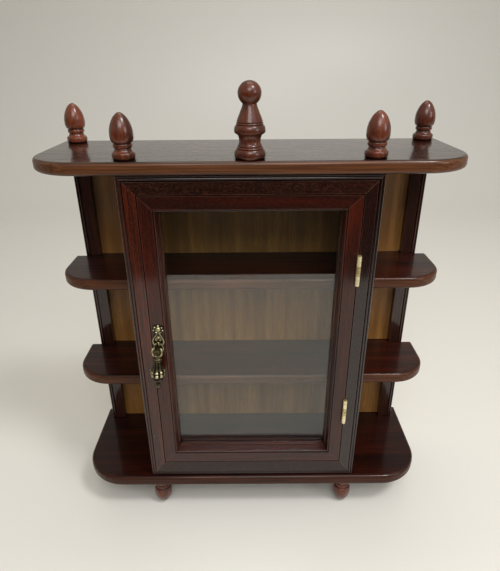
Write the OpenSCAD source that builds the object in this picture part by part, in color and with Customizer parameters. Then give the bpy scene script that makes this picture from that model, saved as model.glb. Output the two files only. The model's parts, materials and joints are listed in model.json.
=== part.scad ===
// Small glazed display case: a hinged glass door between open side shelves,
// with turned finials above and turned feet below.
// X runs left to right, the front faces -Y, Z is up, and the feet stand on Z = 0.

/* [Boards] */
// Width of the top and bottom boards
board_w = 338; // [300:1:420]
// Depth of the top and bottom boards, back edge to front edge
board_d = 104; // [98:1:140]
// Thickness of the top board
top_t = 10; // [8:0.5:16]
// Thickness of the bottom board
bottom_t = 11; // [8:0.5:16]
// Clear height between the two boards
case_h = 298; // [250:1:380]
// Radius of the boards' front corners in plan
board_corner_r = 40; // [20:1:50]
// Radius of the boards' rounded top and bottom edges
board_edge_r = 3; // [1:0.5:3.5]

/* [Posts and back] */
// Width across the outer faces of the two rear posts
posts_w = 321; // [290:1:330]
// Width of one rear post
post_w = 14.2; // [12:0.1:20]
// Depth of one rear post
post_d = 15.5; // [14:0.1:20]
// Thickness of the plywood back panel
panel_t = 4; // [3:0.5:5]
// Distance from the cabinet's back plane to the panel's rear face
panel_setback = 5; // [2:0.5:6]
// Width of the rebate that holds the panel in each post
panel_lap = 5; // [3:0.5:7]
// Gap left between the panel and its seats
panel_gap = 0.2; // [0.1:0.1:0.5]

/* [Centre box] */
// Width across the face frame
box_w = 199; // [170:1:215]
// Thickness of the side panels
side_t = 9; // [6:0.5:12]
// How far the face frame stands out past the side panels
frame_lip = 1; // [0.5:0.5:2]
// Distance from the back plane to the front of the face frame and door
front_b = 100.5; // [92:0.5:130]
// Thickness of the face frame
frame_t = 12; // [10:0.5:15]
// Width of the face frame's stiles
frame_stile_w = 14; // [12:0.5:20]
// Width of the face frame's top rail
frame_top_w = 14.8; // [12:0.1:20]
// Width of the face frame's bottom rail
frame_bottom_w = 17.4; // [12:0.1:24]

/* [Shelves] */
// Width across the side shelves, outer edge to outer edge
shelves_w = 342; // [326:1:400]
// Distance from the back plane to the shelves' front edge
shelf_front_b = 73.2; // [60:0.1:80]
// Thickness of every shelf
shelf_t = 10.5; // [8:0.5:14]
// Height of the lower shelves' top surface above the bottom board
lower_shelf_z = 100.4; // [80:0.1:120]
// Height of the upper shelves' top surface above the bottom board
upper_shelf_z = 201.8; // [160:0.1:230]
// Radius of the side shelves' outer front corner in plan
shelf_corner_r = 32; // [15:1:40]
// Radius of the shelves' rounded front edges
shelf_edge_r = 3; // [1:0.5:3.5]

/* [Door] */
// Gap round the door inside the face frame
door_gap = 0.8; // [0.6:0.1:1.5]
// Thickness of the door frame
door_t = 16; // [14:0.5:20]
// Width of the flat part of each door member
door_flat_w = 10; // [8:0.5:16]
// Width of the stepped moulding inside the flat part
door_mould_w = 4.6; // [4:0.1:7]
// Depth from the door's front to the glass
glass_depth = 12; // [10.5:0.5:13]
// Thickness of the glass
glass_t = 2; // [1.5:0.5:2]
// Gap round the glass in its rebate
glass_gap = 0.4; // [0.2:0.1:0.8]

/* [Hinges] */
// Length of a hinge
hinge_len = 25; // [20:1:40]
// Thickness of a hinge leaf
leaf_t = 0.9; // [0.7:0.1:1.2]
// Width of a hinge leaf let into the wood
leaf_w = 8; // [6:0.5:9]
// Radius of the hinge knuckle
knuckle_r = 1.8; // [1.6:0.1:2.4]
// Radius of the hinge pin
hinge_pin_r = 0.9; // [0.7:0.05:1.1]
// Height of the upper hinge's middle above the bottom board
upper_hinge_z = 221.6; // [180:0.1:250]
// Height of the lower hinge's middle above the bottom board
lower_hinge_z = 80.4; // [50:0.1:110]

/* [Handle] */
// Height of the handle's pivot above the bottom board
handle_z = 150.5; // [120:0.5:180]
// Distance from the door's front to the pivot and the drop's axis
handle_reach = 8.6; // [8.4:0.1:12]
// Radius of the drop's bulb
bulb_r = 7.6; // [5:0.1:7.8]
// Length of the drop below its pivot
drop_len = 39; // [34:0.5:48]
// Thickness of the handle's back plate
handle_plate_t = 1.2; // [0.8:0.1:2]
// Running clearance round the pins
pin_clearance = 0.05; // [0.02:0.01:0.08]

/* [Turnings] */
// Height of an acorn turning, shoulder to tip
acorn_h = 33; // [26:0.5:40]
// Largest radius of an acorn turning
acorn_r = 8.5; // [7:0.1:10]
// Height cut off a foot's tip so that it stands flat
foot_flat = 1; // [0.6:0.1:2]
// Height of the centre finial
centre_finial_h = 53; // [45:0.5:60]
// Radius of the centre finial's ball
ball_r = 8; // [6:0.1:9]
// Distance from the back plane to the front row of turnings
front_row_b = 91.5; // [91:0.5:96]
// Distance from the back plane to the rear row of turnings
rear_row_b = 9.2; // [8.8:0.1:11]
// Radius of the tenon that holds each turning
tenon_r = 2; // [1.5:0.1:2.5]
// How far a tenon goes into the post or frame past its board
tenon_grip = 8; // [5:0.5:12]

/* [Hidden] */
$fn = 64;

// Colours of the finishes
mahogany = "#4a1a12";
mahogany_edge = "#7a4128";
finial_red = "#6e2c18";
plywood = "#8a6a35";
raw_wood = "#c9a878";
brass = "#c9b06a";
antique_brass = "#5d5138";
steel = "#b8bcc0";
glass_tint = [0.75, 0.8, 0.82, 0.35];

// Small amount that a cutting tool runs past the face it cuts
cut = 1;

// Heights of the main faces
foot_h = acorn_h - foot_flat;
floor_z = foot_h + bottom_t;
ceiling_z = floor_z + case_h;
top_z = ceiling_z + top_t;

// The back plane's place along Y, which centres the object from its back to the handle's front
back_y = (front_b + handle_reach + bulb_r) / 2;

// Centre box
side_outer_x = box_w / 2 - frame_lip;
side_inner_x = side_outer_x - side_t;
panel_front_b = panel_setback + panel_t;
frame_back_b = front_b - frame_t;

// Frame moulding: two half-round beads and a quirk along the outer edge
outer_bead_r = 0.95;
inner_bead_r = 1.25;
quirk_w = 0.5;
bead_floor = 1.5;
bead_zone = 2 * outer_bead_r + 2 * inner_bead_r + quirk_w;

// Posts
post_outer_x = posts_w / 2;
post_inner_x = post_outer_x - post_w;
post_x = post_outer_x - post_w / 2;

// Door
opening_w = box_w - 2 * frame_stile_w;
door_w = opening_w - 2 * door_gap;
door_z = floor_z + frame_bottom_w + door_gap;
door_h = case_h - frame_bottom_w - frame_top_w - 2 * door_gap;
door_member_w = door_flat_w + door_mould_w;
door_back_b = front_b - door_t;
rebate_u = door_flat_w + 0.4;
glass_w = door_w - 2 * rebate_u - 2 * glass_gap;
glass_h = door_h - 2 * rebate_u - 2 * glass_gap;
glass_front_b = front_b - glass_depth;
bead_t = door_t - glass_depth - glass_t - 0.1;
bead_w = door_mould_w - 0.6;

// Hinges: the knuckle stands clear in front of the gap beside the door
knuckle_clear = 0.2;
hinge_x = (opening_w + door_w) / 4;
hinge_b = front_b + knuckle_r + knuckle_clear;
knuckle_gap = 0.15;
pin_cap_r = knuckle_r - 0.1;
pin_cap_h = 0.5;
screw_head_r = 1.6;
screw_shank_r = 0.8;
hinge_screw_len = 8;
hinge_screw_pitch = hinge_len * 0.6;

// Handle
handle_x = -(door_w / 2 - door_flat_w / 2);
handle_b = front_b + handle_reach;
handle_pin_r = 0.75;
handle_pivot_z = floor_z + handle_z;
eye_r = 2.6;
eye_half_w = 2.4;
boss_r = 2;
post_shank_r = 1.5;
yoke_gap = 0.4;
cheek_t = 1.4;
cheek_x = eye_half_w + yoke_gap;
collar_z = -5.7;
collar_r = 4.2;
rosette_z = 19;
rosette_r = 5;
plate_half_w = 4.9;
nut_across = 5.5;
nut_t = 2.2;

// Door catch
catch_w = side_inner_x - (door_w / 2 - door_flat_w) + 1;
catch_d = 8;
catch_h = 18;
strike_t = 1;
strike_w = door_flat_w - 2.5;
strike_h = 16;
catch_gap = 0.2;
catch_z = floor_z + upper_shelf_z - shelf_t / 2;
catch_b = door_back_b - strike_t - catch_gap;
magnet_d = 3;
magnet_h = 10;
magnet_w = 6;

// Dowels, screws and pins that hold the carcass
dowel_r = 2;
dowel_grip = 8;
top_dowel_in_board = 6;
carcass_b = [28, 62];
base_screw_len = 26;
base_head_r = 3.2;
base_shank_r = 1.6;
base_head_h = 2.4;
pin_shank_r = 0.5;
pin_head_r = 1.2;
pin_head_h = 0.4;
pin_grip = 4;

// Wall hangers let in flush behind the posts
hanger_w = 9;
hanger_h = 28;
hanger_t = 1.2;
hanger_drop = 48;
keyhole_r = 3.2;
keyslot_r = 1.6;
keyslot_rise = 7;
hanger_pocket_d = 6;
hanger_screw_z = 11;
hanger_screw_len = 8;

// Y position of a point a distance b in front of the back plane
function at_b(b) = back_y - b;

// Points of an elliptic arc in the half-plane of a turned profile
function arc(r, z, ar, az, from, to, steps) =
    [for (i = [0:steps]) let (a = from + (to - from) * i / steps) [r + ar * cos(a), z + az * sin(a)]];

// ---------- shared shapes ----------

// A slab from x = 0 to w and y = -d to 0 whose front edge is rounded above and below
module front_edge_slab(w, d, t, e) {
    translate([0, -d + e, 0]) cube([w, d - e, t]);
    translate([0, -d, e]) cube([w, d, t - 2 * e]);
    for (z = [e, t - e])
        translate([0, -d + e, z]) rotate([0, 90, 0]) cylinder(r = e, h = w);
}

// A strip from x = 0 to w and y = -d to 0 whose outer edge, at x = w, is rounded
module side_edge_slab(w, d, t, e) {
    translate([0, -d, 0]) cube([w - e, d, t]);
    translate([0, -d, e]) cube([w, d, t - 2 * e]);
    for (z = [e, t - e])
        translate([w - e, 0, z]) rotate([90, 0, 0]) cylinder(r = e, h = d);
}

// A disc with the same rounded edge, for the corners
module edge_disc(r, t, e) {
    cylinder(r = r - e, h = t);
    translate([0, 0, e]) cylinder(r = r, h = t - 2 * e);
    for (z = [e, t - e])
        rotate_extrude() translate([r - e, z]) circle(r = e);
}

// A shelf or half board from x = 0 to w with one rounded outer front corner
module cornered_slab(w, d, t, corner, e) {
    front_edge_slab(w - corner, d, t, e);
    translate([w - corner, 0, 0]) side_edge_slab(corner, d - corner, t, e);
    translate([w - corner, corner - d, 0]) intersection() {
        edge_disc(corner, t, e);
        translate([0, -corner, 0]) cube([corner, corner, t]);
    }
}

// A whole board, standing at its underside, with both front corners rounded
module board(t) {
    for (side = [0, 1])
        mirror([side, 0, 0])
            translate([0, back_y, 0])
                cornered_slab(board_w / 2, board_d, t, board_corner_r, board_edge_r);
}

// Section of the frame stock: u runs inward from the outer edge, d runs back from the front
module frame_section(w, t) {
    translate([0, bead_floor]) square([w, t - bead_floor]);
    translate([bead_zone, 0]) square([w - bead_zone, t]);
    translate([outer_bead_r, bead_floor]) circle(r = outer_bead_r);
    translate([2 * outer_bead_r + inner_bead_r, bead_floor]) circle(r = inner_bead_r);
}

// Section of the door stock: a flat, a bead, and a slope and two fillets down to the glass
module door_section() {
    bead_r = 0.9;
    bead_u = door_flat_w + 0.3 + bead_r;
    bead_d = 1.5;
    slope_u = bead_u + bead_r;
    square([rebate_u, door_t]);
    translate([bead_u, bead_d]) circle(r = bead_r);
    polygon([[door_flat_w - 1, bead_d], [slope_u, bead_d], [slope_u, 3.2],
        [slope_u + 0.5 * (door_member_w - slope_u), 7.6],
        [slope_u + 0.8 * (door_member_w - slope_u), 7.6],
        [door_member_w, 9.2], [door_member_w, glass_depth], [door_flat_w - 1, glass_depth]]);
}

// Upright member of a w by h frame at x = -w/2, mitred to rails of the given widths
module upright(w, h, own, top, bottom, t) {
    intersection() {
        translate([-w / 2, 0, 0]) linear_extrude(height = h) children();
        translate([0, t + cut, 0]) rotate([90, 0, 0]) linear_extrude(height = t + 2 * cut)
            polygon([[-w / 2, 0], [-w / 2 + own, bottom], [-w / 2 + own, h - top], [-w / 2, h]]);
    }
}

// Level member along the bottom of a w by h frame, mitred to the stiles
module level(w, own, stile, t) {
    intersection() {
        translate([w / 2, 0, 0]) rotate([0, -90, 0]) linear_extrude(height = w) children();
        translate([0, t + cut, 0]) rotate([90, 0, 0]) linear_extrude(height = t + 2 * cut)
            polygon([[-w / 2, 0], [w / 2, 0], [w / 2 - stile, own], [-w / 2 + stile, own]]);
    }
}

// Countersunk screw along +Z with its head's face at z = 0
module flat_screw(head_r, shank_r, head_h, len) {
    cylinder(r1 = head_r, r2 = shank_r, h = head_h);
    cylinder(r = shank_r, h = len);
}

// ---------- turnings ----------

// Shape of an acorn turning above its shoulder at z = 0
acorn_base_r = acorn_r - 1.3;
acorn_belly_z = acorn_h * 0.5;
acorn_seat_z = 12;
acorn_seat_r = acorn_r - 1.1;

// Radius of the acorn's nut at height z
function nut_radius(z) = z < acorn_belly_z
    ? acorn_r - (acorn_r - acorn_seat_r) * pow((acorn_belly_z - z) / (acorn_belly_z - acorn_seat_z), 2)
    : acorn_r * pow(max(0, 1 - pow((z - acorn_belly_z) / (acorn_h - acorn_belly_z), 2)), 0.8);

// Profile from the shoulder disc through a flare, a cove, a ring and a groove to the nut
function acorn_profile(top) = concat(
    [[0, 0], [acorn_base_r, 0]],
    arc(acorn_base_r, 3.6, 1.4, 2.4, -80, 75, 8),
    arc(acorn_base_r + 0.3, 8, 1.3, 1.7, 250, 130, 6),
    arc(acorn_base_r - 0.9, 10.3, 0.7, 0.9, -80, 80, 6),
    [[acorn_base_r - 1, 11.6]],
    [for (i = [0:24]) let (z = acorn_seat_z + (top - acorn_seat_z) * i / 24) [nut_radius(z), z]],
    [[0, top]]);

// Acorn turning with the tenon that holds it
module acorn(top, tenon) {
    rotate_extrude() polygon(acorn_profile(top));
    translate([0, 0, -tenon]) cylinder(r = tenon_r, h = tenon);
}

// Profile of the centre finial: a foot ring, a waist, a bell with grooves and a neck
function centre_profile() = let (neck_z = centre_finial_h - 2 * ball_r + 1) concat(
    [[0, 0], [10.4, 0]],
    arc(10.2, 2.5, 1.4, 2.2, -80, 80, 8),
    [[10.2, 5.1], [10, 6.8], [9, 7.4]],
    arc(10.6, 12.2, 3.1, 4.6, 240, 130, 10),
    [[8.6, 16.4], [10.9, 17.6]],
    arc(10.2, 19.2, 1, 1.5, -70, 80, 6),
    [for (i = [0:12]) let (s = i / 12) [10.1 - 5.1 * pow(s, 0.8), 21.2 + (neck_z - 21.2) * s]],
    [[0, neck_z]]);

module centre_turning() {
    rotate_extrude() polygon(centre_profile());
    translate([0, 0, centre_finial_h - ball_r]) sphere(r = ball_r);
    translate([0, 0, -top_t - tenon_grip]) cylinder(r = tenon_r, h = top_t + tenon_grip);
}

// Place of the front row's outer turnings, over the middle of the stiles
front_turning_x = box_w / 2 - frame_stile_w / 2;

// Holes through a board for the tenons of the turnings at both sides
module tenon_holes(depth) {
    for (side = [-1, 1]) {
        translate([side * front_turning_x, at_b(front_row_b), 0]) cylinder(r = tenon_r, h = depth);
        translate([side * post_x, at_b(rear_row_b), 0]) cylinder(r = tenon_r, h = depth);
    }
}

// ---------- carcass ----------

module bottom_board() {
    color(mahogany) difference() {
        translate([0, 0, foot_h]) board(bottom_t);
        translate([0, 0, foot_h - cut]) tenon_holes(bottom_t + 2 * cut);
        base_screw_set();
    }
}

module top_board() {
    color(mahogany) difference() {
        translate([0, 0, ceiling_z]) board(top_t);
        translate([0, 0, ceiling_z - cut]) tenon_holes(top_t + 2 * cut);
        translate([0, at_b(front_row_b), ceiling_z - cut]) cylinder(r = tenon_r, h = top_t + 2 * cut);
        top_dowel_set();
    }
}

// Right-hand post, with a rebate for the back panel and pockets for its fixings
module post() {
    difference() {
        translate([post_outer_x, at_b(post_d), floor_z])
            mirror([1, 0, 0]) linear_extrude(height = case_h) frame_section(post_w, post_d);
        translate([post_inner_x - cut, at_b(panel_front_b), floor_z - cut])
            cube([panel_lap + cut, panel_front_b + cut, case_h + 2 * cut]);
        for (z = [floor_z - cut, ceiling_z - tenon_grip])
            translate([post_x, at_b(rear_row_b), z]) cylinder(r = tenon_r, h = tenon_grip + cut);
        hanger_recess();
    }
}

module right_post() {
    color(mahogany) difference() {
        post();
        panel_pin_set();
    }
}

module left_post() {
    color(mahogany) difference() {
        mirror([1, 0, 0]) post();
        panel_pin_set();
    }
}

module back_panel() {
    half = post_inner_x + panel_lap - panel_gap;
    color(plywood) difference() {
        translate([-half, at_b(panel_front_b), floor_z + panel_gap])
            cube([2 * half, panel_t, case_h - 2 * panel_gap]);
        panel_pin_set();
    }
}

// Right-hand side panel of the centre box
module side_panel() {
    difference() {
        translate([side_inner_x, at_b(frame_back_b), floor_z])
            cube([side_t, frame_back_b - panel_front_b, case_h]);
        base_screw_set();
        top_dowel_set();
        shelf_dowel_set();
        panel_pin_set();
    }
}

module right_side_panel() { color(mahogany) side_panel(); }

module left_side_panel() {
    color(mahogany) difference() {
        mirror([1, 0, 0]) side_panel();
        catch_screws();
    }
}

// ---------- shelves ----------

// Right-hand side shelf with its top surface z above the bottom board
module side_shelf(z) {
    difference() {
        translate([side_outer_x, 0, floor_z + z - shelf_t]) {
            translate([0, at_b(post_d), 0])
                cornered_slab(shelves_w / 2 - side_outer_x, shelf_front_b - post_d, shelf_t,
                    shelf_corner_r, shelf_edge_r);
            translate([0, at_b(post_d + shelf_edge_r), 0])
                cube([post_inner_x - side_outer_x, post_d + shelf_edge_r - panel_front_b, shelf_t]);
        }
        shelf_dowel_set();
    }
}

// Shelf inside the centre box, between the side panels
module inner_shelf(z) {
    difference() {
        translate([-side_inner_x, at_b(panel_front_b), floor_z + z - shelf_t])
            front_edge_slab(2 * side_inner_x, shelf_front_b - panel_front_b, shelf_t, shelf_edge_r);
        shelf_dowel_set();
    }
}

module right_lower_shelf() { color(mahogany_edge) side_shelf(lower_shelf_z); }
module right_upper_shelf() { color(mahogany_edge) side_shelf(upper_shelf_z); }
module left_lower_shelf() { color(mahogany_edge) mirror([1, 0, 0]) side_shelf(lower_shelf_z); }
module left_upper_shelf() { color(mahogany_edge) mirror([1, 0, 0]) side_shelf(upper_shelf_z); }
module inner_lower_shelf() { color(mahogany_edge) inner_shelf(lower_shelf_z); }
module inner_upper_shelf() { color(mahogany_edge) inner_shelf(upper_shelf_z); }

// ---------- face frame ----------

module frame_stile() {
    translate([0, at_b(front_b), floor_z])
        upright(box_w, case_h, frame_stile_w, frame_top_w, frame_bottom_w, frame_t)
            frame_section(frame_stile_w, frame_t);
}

// Tenon sockets in the ends of the face frame's left side
module frame_sockets() {
    for (z = [floor_z - cut, ceiling_z - tenon_grip])
        translate([-front_turning_x, at_b(front_row_b), z]) cylinder(r = tenon_r, h = tenon_grip + cut);
}

module frame_left_stile() {
    color(mahogany) difference() {
        frame_stile();
        frame_sockets();
    }
}

module frame_right_stile() {
    color(mahogany) difference() {
        mirror([1, 0, 0]) frame_stile();
        mirror([1, 0, 0]) frame_sockets();
        hinge_mortises(opening_w / 2 - cut, opening_w / 2 + leaf_t);
        hinge_frame_screws();
    }
}

module frame_bottom_rail() {
    color(mahogany) difference() {
        translate([0, at_b(front_b), floor_z])
            level(box_w, frame_bottom_w, frame_stile_w, frame_t)
                frame_section(frame_bottom_w, frame_t);
        frame_sockets();
        mirror([1, 0, 0]) frame_sockets();
    }
}

module frame_top_rail() {
    color(mahogany) difference() {
        translate([0, at_b(front_b), ceiling_z]) mirror([0, 0, 1])
            level(box_w, frame_top_w, frame_stile_w, frame_t)
                frame_section(frame_top_w, frame_t);
        frame_sockets();
        mirror([1, 0, 0]) frame_sockets();
        translate([0, at_b(front_row_b), ceiling_z - tenon_grip])
            cylinder(r = tenon_r, h = tenon_grip + cut);
    }
}

// ---------- door ----------

module door_stile() {
    translate([0, at_b(front_b), door_z])
        upright(door_w, door_h, door_member_w, door_member_w, door_member_w, door_t)
            door_section();
}

module door_rail() {
    level(door_w, door_member_w, door_member_w, door_t) door_section();
}

module door_left_stile() {
    color(mahogany) difference() {
        door_stile();
        translate([handle_x, at_b(handle_b), handle_pivot_z]) rotate([-90, 0, 0])
            cylinder(r = post_shank_r, h = handle_reach + door_t + cut);
        handle_tacks();
    }
}

module door_right_stile() {
    color(mahogany) difference() {
        mirror([1, 0, 0]) door_stile();
        hinge_mortises(door_w / 2 - leaf_t, door_w / 2 + cut);
        hinge_door_screws();
    }
}

module door_bottom_rail() {
    color(mahogany) translate([0, at_b(front_b), door_z]) door_rail();
}

module door_top_rail() {
    color(mahogany) translate([0, at_b(front_b), door_z + door_h]) mirror([0, 0, 1]) door_rail();
}

module glass_pane() {
    color(glass_tint)
        translate([-glass_w / 2, at_b(glass_front_b), door_z + (door_h - glass_h) / 2])
            cube([glass_w, glass_t, glass_h]);
}

// Bead that holds the glass: seen from the front its ends are mitred
module glass_bead_upright() {
    w = door_w - 2 * rebate_u;
    h = door_h - 2 * rebate_u;
    translate([0, at_b(door_back_b), door_z + rebate_u])
        rotate([90, 0, 0]) linear_extrude(height = bead_t)
            polygon([[-w / 2, 0], [-w / 2 + bead_w, bead_w], [-w / 2 + bead_w, h - bead_w], [-w / 2, h]]);
}

module glass_bead_level() {
    w = door_w - 2 * rebate_u;
    rotate([90, 0, 0]) linear_extrude(height = bead_t)
        polygon([[-w / 2, 0], [w / 2, 0], [w / 2 - bead_w, bead_w], [-w / 2 + bead_w, bead_w]]);
}

module glass_bead_left() { color(mahogany) glass_bead_upright(); }
module glass_bead_right() { color(mahogany) mirror([1, 0, 0]) glass_bead_upright(); }

module glass_bead_bottom() {
    color(mahogany) translate([0, at_b(door_back_b), door_z + rebate_u]) glass_bead_level();
}

module glass_bead_top() {
    color(mahogany) translate([0, at_b(door_back_b), door_z + door_h - rebate_u])
        mirror([0, 0, 1]) glass_bead_level();
}

// ---------- hinges ----------

// Recesses for both hinges' leaves between two x positions
module hinge_mortises(x0, x1) {
    for (z = [lower_hinge_z, upper_hinge_z])
        translate([x0, at_b(front_b + cut), floor_z + z - hinge_len / 2])
            cube([x1 - x0, leaf_w + cut, hinge_len]);
}

// Leaf lying from x0 to x1, with its knuckles on the given thirds of the hinge
module hinge_leaf(x0, z, thirds) {
    third = hinge_len / 3;
    translate([0, 0, floor_z + z - hinge_len / 2]) difference() {
        union() {
            translate([x0, at_b(front_b + knuckle_clear / 2), 0])
                cube([leaf_t, leaf_w + knuckle_clear / 2, hinge_len]);
            for (i = thirds) {
                z0 = i * third + (i == 0 ? 0 : knuckle_gap / 2);
                z1 = (i + 1) * third - (i == 2 ? 0 : knuckle_gap / 2);
                translate([hinge_x, at_b(hinge_b), z0]) cylinder(r = knuckle_r, h = z1 - z0);
                translate([x0, at_b(hinge_b), z0])
                    cube([leaf_t, hinge_b - front_b + leaf_w / 2, z1 - z0]);
            }
        }
        translate([hinge_x, at_b(hinge_b), -cut])
            cylinder(r = hinge_pin_r + pin_clearance, h = hinge_len + 2 * cut);
    }
}

module hinge_pin(z) {
    translate([hinge_x, at_b(hinge_b), floor_z + z - hinge_len / 2]) {
        cylinder(r = hinge_pin_r, h = hinge_len);
        translate([0, 0, -pin_cap_h]) cylinder(r = pin_cap_r, h = pin_cap_h);
        translate([0, 0, hinge_len]) cylinder(r = pin_cap_r, h = pin_cap_h);
    }
}

module hinge_frame_leaf(z) {
    difference() {
        hinge_leaf(opening_w / 2, z, [0, 2]);
        hinge_frame_screws();
    }
}

module hinge_door_leaf(z) {
    difference() {
        hinge_leaf(door_w / 2 - leaf_t, z, [1]);
        hinge_door_screws();
    }
}

// Four screws with their heads' faces at x, driven along +X or -X
module hinge_screw_set(x, turn) {
    for (z = [lower_hinge_z, upper_hinge_z])
        for (dz = [-0.5, 0.5])
            translate([x, at_b(front_b - leaf_w / 2), floor_z + z + dz * hinge_screw_pitch])
                rotate([0, turn, 0])
                    flat_screw(screw_head_r, screw_shank_r, leaf_t, hinge_screw_len);
}

module upper_hinge_frame_leaf() { color(brass) hinge_frame_leaf(upper_hinge_z); }
module lower_hinge_frame_leaf() { color(brass) hinge_frame_leaf(lower_hinge_z); }
module upper_hinge_door_leaf() { color(brass) hinge_door_leaf(upper_hinge_z); }
module lower_hinge_door_leaf() { color(brass) hinge_door_leaf(lower_hinge_z); }
module upper_hinge_pin() { color(brass) hinge_pin(upper_hinge_z); }
module lower_hinge_pin() { color(brass) hinge_pin(lower_hinge_z); }
module hinge_frame_screws() { color(brass) hinge_screw_set(opening_w / 2, 90); }
module hinge_door_screws() { color(brass) hinge_screw_set(door_w / 2, -90); }

// ---------- handle ----------

// Back plate: a rosette on top of a slim pointed body with a round foot
module handle_plate() {
    color(antique_brass) difference() {
        translate([handle_x, at_b(front_b), handle_pivot_z]) rotate([90, 0, 0])
            linear_extrude(height = handle_plate_t) {
                translate([0, rosette_z]) circle(r = rosette_r - 0.4);
                translate([0, rosette_z + rosette_r]) circle(r = 1.4);
                circle(r = plate_half_w);
                polygon([[-plate_half_w, 0], [plate_half_w, 0], [plate_half_w, 7],
                    [2, rosette_z - 2], [-2, rosette_z - 2], [-plate_half_w, 7]]);
            }
        translate([handle_x, at_b(handle_b), handle_pivot_z]) rotate([-90, 0, 0])
            cylinder(r = post_shank_r, h = handle_reach + cut);
        handle_tacks();
    }
}

// Threaded post with an eye at its front end
module handle_post() {
    color(antique_brass) translate([handle_x, at_b(handle_b), handle_pivot_z]) difference() {
        union() {
            rotate([0, 90, 0]) cylinder(r = eye_r, h = 2 * eye_half_w, center = true);
            rotate([-90, 0, 0]) cylinder(r = boss_r, h = handle_reach - handle_plate_t);
            rotate([-90, 0, 0]) cylinder(r = post_shank_r, h = handle_reach + door_t + nut_t);
        }
        rotate([0, 90, 0])
            cylinder(r = handle_pin_r + pin_clearance, h = 4 * eye_r, center = true);
    }
}

module handle_pin() {
    len = 2 * (cheek_x + cheek_t);
    color(antique_brass) translate([handle_x, at_b(handle_b), handle_pivot_z])
        rotate([0, 90, 0]) {
            cylinder(r = handle_pin_r, h = len, center = true);
            for (side = [-1, 1])
                translate([0, 0, side * (len / 2 + 0.25)])
                    cylinder(r = handle_pin_r + 0.5, h = 0.5, center = true);
        }
}

// Profile of the drop below its yoke: collar, fluted neck, bulb, cup and tip
function drop_profile() = let (bulb_z = -drop_len + 12.6, tip_z = -drop_len) concat(
    [[0, collar_z], [collar_r - 0.5, collar_z]],
    arc(collar_r - 0.5, collar_z - 1.8, 0.9, 1.5, 70, -70, 6),
    arc(4.6, collar_z - 9, 1.3, 6, 120, 200, 8),
    arc(bulb_r - 2.6, bulb_z, 2.6, 4.4, 80, -80, 12),
    arc(3.4, bulb_z - 5.4, 1, 1, 60, -60, 4),
    [[1.5, bulb_z - 7.2]],
    arc(0, tip_z + 1.7, 1.7, 1.7, 20, -90, 6));

// Drop that swings on the pin through the post's eye
module handle_drop() {
    color(antique_brass) translate([handle_x, at_b(handle_b), handle_pivot_z]) difference() {
        union() {
            for (side = [-1, 1])
                translate([side * (cheek_x + cheek_t / 2), 0, 0]) {
                    rotate([0, 90, 0]) cylinder(r = 2.3, h = cheek_t, center = true);
                    translate([-cheek_t / 2, -1.5, collar_z - 1]) cube([cheek_t, 3, 1 - collar_z]);
                }
            rotate_extrude() polygon(drop_profile());
            translate([-cheek_x - cheek_t, -1.5, collar_z - 1.6])
                cube([2 * (cheek_x + cheek_t), 3, 1.6]);
        }
        rotate([0, 90, 0])
            cylinder(r = handle_pin_r + pin_clearance, h = 6 * eye_r, center = true);
    }
}

module handle_nut() {
    color(antique_brass) translate([handle_x, at_b(door_back_b), handle_pivot_z])
        rotate([-90, 0, 0]) difference() {
            cylinder(d = nut_across / cos(30), h = nut_t, $fn = 6);
            translate([0, 0, -cut]) cylinder(r = post_shank_r, h = nut_t + 2 * cut);
        }
}

// Two small round-headed tacks through the plate into the stile
module handle_tacks() {
    color(antique_brass) for (dz = [11, rosette_z])
        translate([handle_x, at_b(front_b + handle_plate_t), handle_pivot_z + dz])
            rotate([-90, 0, 0]) {
                cylinder(r = 0.6, h = 7);
                translate([0, 0, -0.6]) cylinder(r = 1.4, h = 0.6);
            }
}

// ---------- door catch ----------

// Catch on the left side panel, level with the upper inner shelf
module catch_body() {
    color(mahogany_edge) difference() {
        translate([-side_inner_x, at_b(catch_b), catch_z - catch_h / 2])
            cube([catch_w, catch_d, catch_h]);
        catch_magnet();
        catch_screws();
    }
}

module catch_magnet() {
    color(steel) translate([-side_inner_x + (catch_w - magnet_w) - 1.5, at_b(catch_b), catch_z - magnet_h / 2])
        cube([magnet_w, magnet_d, magnet_h]);
}

module catch_screws() {
    color(brass) for (dz = [-6.5, 6.5])
        translate([-side_inner_x + catch_w, at_b(catch_b) + catch_d * 0.6, catch_z + dz])
            rotate([0, -90, 0]) flat_screw(screw_head_r, screw_shank_r, 1, catch_w + side_t * 0.7);
}

module strike_plate() {
    color(steel)
        translate([-door_w / 2 + 1.2, at_b(door_back_b), catch_z - strike_h / 2])
            cube([strike_w, strike_t, strike_h]);
}

// ---------- finials and feet ----------

module centre_finial() {
    color(finial_red) translate([0, at_b(front_row_b), top_z]) centre_turning();
}

module finial(x, b) {
    color(finial_red) translate([x, at_b(b), top_z]) acorn(acorn_h, top_t + tenon_grip);
}

// The acorn turned upside down, with its tip cut flat
module foot(x, b) {
    color(finial_red) translate([x, at_b(b), foot_h]) mirror([0, 0, 1])
        acorn(foot_h, bottom_t + tenon_grip);
}

module front_left_finial() { finial(-front_turning_x, front_row_b); }
module front_right_finial() { finial(front_turning_x, front_row_b); }
module rear_left_finial() { finial(-post_x, rear_row_b); }
module rear_right_finial() { finial(post_x, rear_row_b); }
module front_left_foot() { foot(-front_turning_x, front_row_b); }
module front_right_foot() { foot(front_turning_x, front_row_b); }
module rear_left_foot() { foot(-post_x, rear_row_b); }
module rear_right_foot() { foot(post_x, rear_row_b); }

// ---------- dowels, screws and pins ----------

module base_screw_set() {
    for (side = [-1, 1])
        for (b = carcass_b)
            translate([side * (side_outer_x - side_t / 2), at_b(b), foot_h])
                flat_screw(base_head_r, base_shank_r, base_head_h, base_screw_len);
}

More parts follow.
